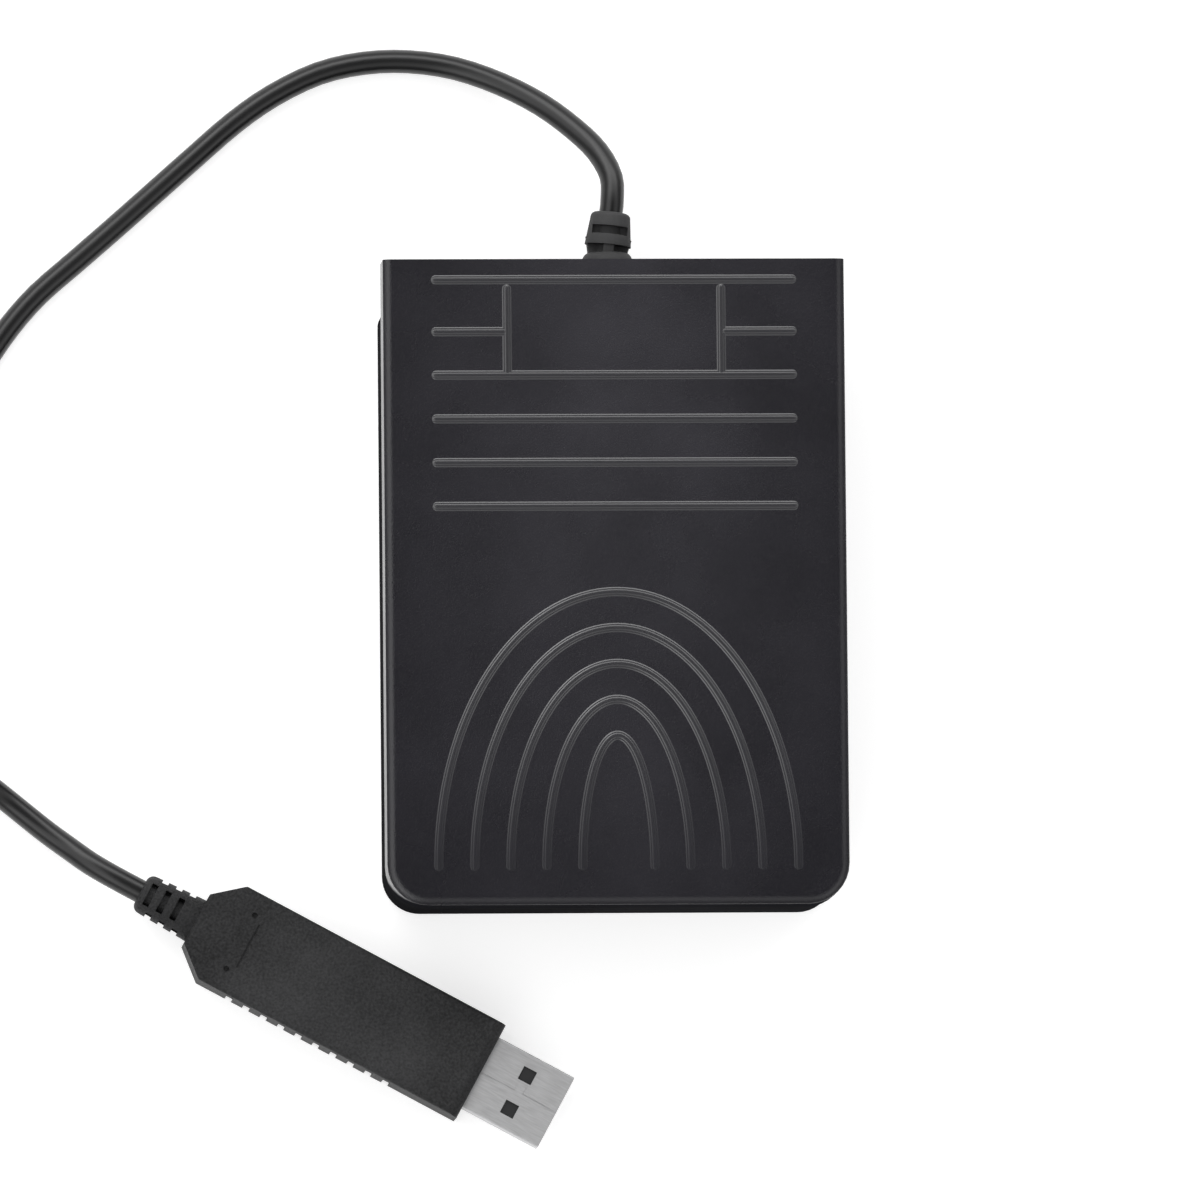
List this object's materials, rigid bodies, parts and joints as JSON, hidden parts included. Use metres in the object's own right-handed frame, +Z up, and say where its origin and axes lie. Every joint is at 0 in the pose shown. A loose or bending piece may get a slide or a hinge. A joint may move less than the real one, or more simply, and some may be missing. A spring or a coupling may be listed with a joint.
{
  "type": "usb foot pedal switch",
  "caption": "Low foot pedal switch: a ribbed tread hinged over a flat base presses a snap switch, with a cord to a USB plug that holds its controller board.",
  "frame": {"origin": "on the floor under the middle of the pedal, without its cord", "axes": "+Z up, +Y along the pedal towards its hinge and cord end, +X to the right seen from above with the cord end at the top"},
  "size_m": [0.1991, 0.1683, 0.028],
  "materials": {
    "tread_plastic": "satin",
    "base_plastic": "satin",
    "pin_steel": "satin",
    "spring_steel": "satin",
    "rubber": "matte",
    "switch_plastic": "gloss",
    "plunger_plastic": "gloss",
    "contact_brass": "polished",
    "wire_plastic": "satin",
    "cord_plastic": "satin",
    "boot_plastic": "satin",
    "tie_plastic": "satin",
    "plug_plastic": "matte",
    "shell_steel": "polished",
    "insulator_plastic": "satin",
    "board_laminate": "satin",
    "chip_plastic": "matte",
    "board_ceramic": "satin"
  },
  "bodies": {
    "base": {"base_tray": "base_plastic", "hinge_pins": "pin_steel", "return_spring": "spring_steel", "rubber_feet": "rubber", "stop_bumpers": "rubber", "switch_case": "switch_plastic", "switch_lid": "switch_plastic", "switch_blade": "contact_brass", "switch_terminals": "contact_brass", "switch_screws": "pin_steel", "switch_wires": "wire_plastic", "cable_tail": "cord_plastic", "cable_clamp": "base_plastic", "clamp_screws": "pin_steel", "strain_relief": "boot_plastic", "cable_near": "cord_plastic", "cable_coil": "cord_plastic", "coil_tie": "tie_plastic", "cable_far": "cord_plastic", "plug_boot": "plug_plastic", "plug_housing": "plug_plastic", "usb_shell": "shell_steel", "usb_insulator": "insulator_plastic", "usb_contacts": "contact_brass", "controller_board": "board_laminate", "controller_chip": "chip_plastic", "board_parts": "board_ceramic", "plug_leads": "wire_plastic"},
    "pedal": {"pedal_cover": "tread_plastic"},
    "lever": {"switch_lever": "spring_steel"},
    "plunger": {"switch_plunger": "plunger_plastic"}
  },
  "joints": [
    {"name": "pedal_hinge", "type": "hinge", "parent": "base", "child": "pedal", "pos_m": [0, 0.0445, 0.0148], "axis": [1, 0, 0], "range_deg": [0, 2.4], "stiffness_Nm_per_rad": 3.6, "springref_deg": -4.01, "deforming": ["return_spring"]},
    {"name": "lever_hinge", "type": "hinge", "parent": "base", "child": "lever", "pos_m": [0, 0.0235, 0.0197], "axis": [1, 0, 0], "range_deg": [0, 6.1]},
    {"name": "plunger_slide", "type": "slide", "parent": "base", "child": "plunger", "axis": [0, 0, -1], "range_m": [0, 0.000535]}
  ],
  "couplings": [
    {"joint": "lever_hinge", "follows": "pedal_hinge", "ratio": 2.5},
    {"joint": "plunger_slide", "follows": "pedal_hinge", "m_per_rad": 0.0125}
  ]
}
